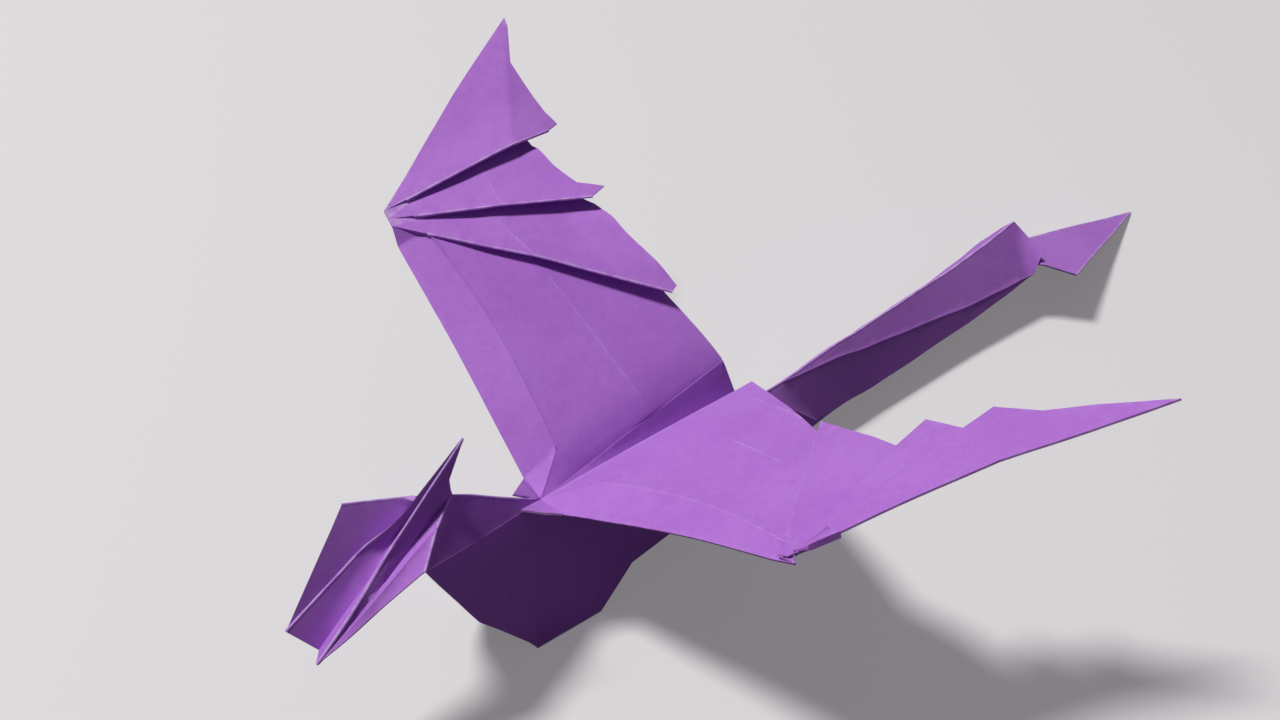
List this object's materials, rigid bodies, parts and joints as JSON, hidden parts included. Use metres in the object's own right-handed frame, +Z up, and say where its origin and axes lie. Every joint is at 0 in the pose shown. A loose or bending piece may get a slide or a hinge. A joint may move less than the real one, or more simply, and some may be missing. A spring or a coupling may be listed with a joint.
{
  "type": "origami dragon",
  "caption": "Dragon folded from a square of purple paper, with a hooded head and swept-back horn, fan-pleated wings and an arrowhead tail, resting on its belly folds and tail point.",
  "frame": {"origin": "middle of the folded sheet's box, at its underside, where the belly folds and the tail point meet the table", "axes": "+X from head to tail, +Y to the dragon's right wing, +Z up from the table"},
  "size_m": [0.166, 0.11, 0.052],
  "materials": {
    "purple_paper": "matt dyed paper, a little paler along the folds"
  },
  "bodies": {
    "root": {"folded_dragon": "purple_paper"}
  },
  "joints": []
}
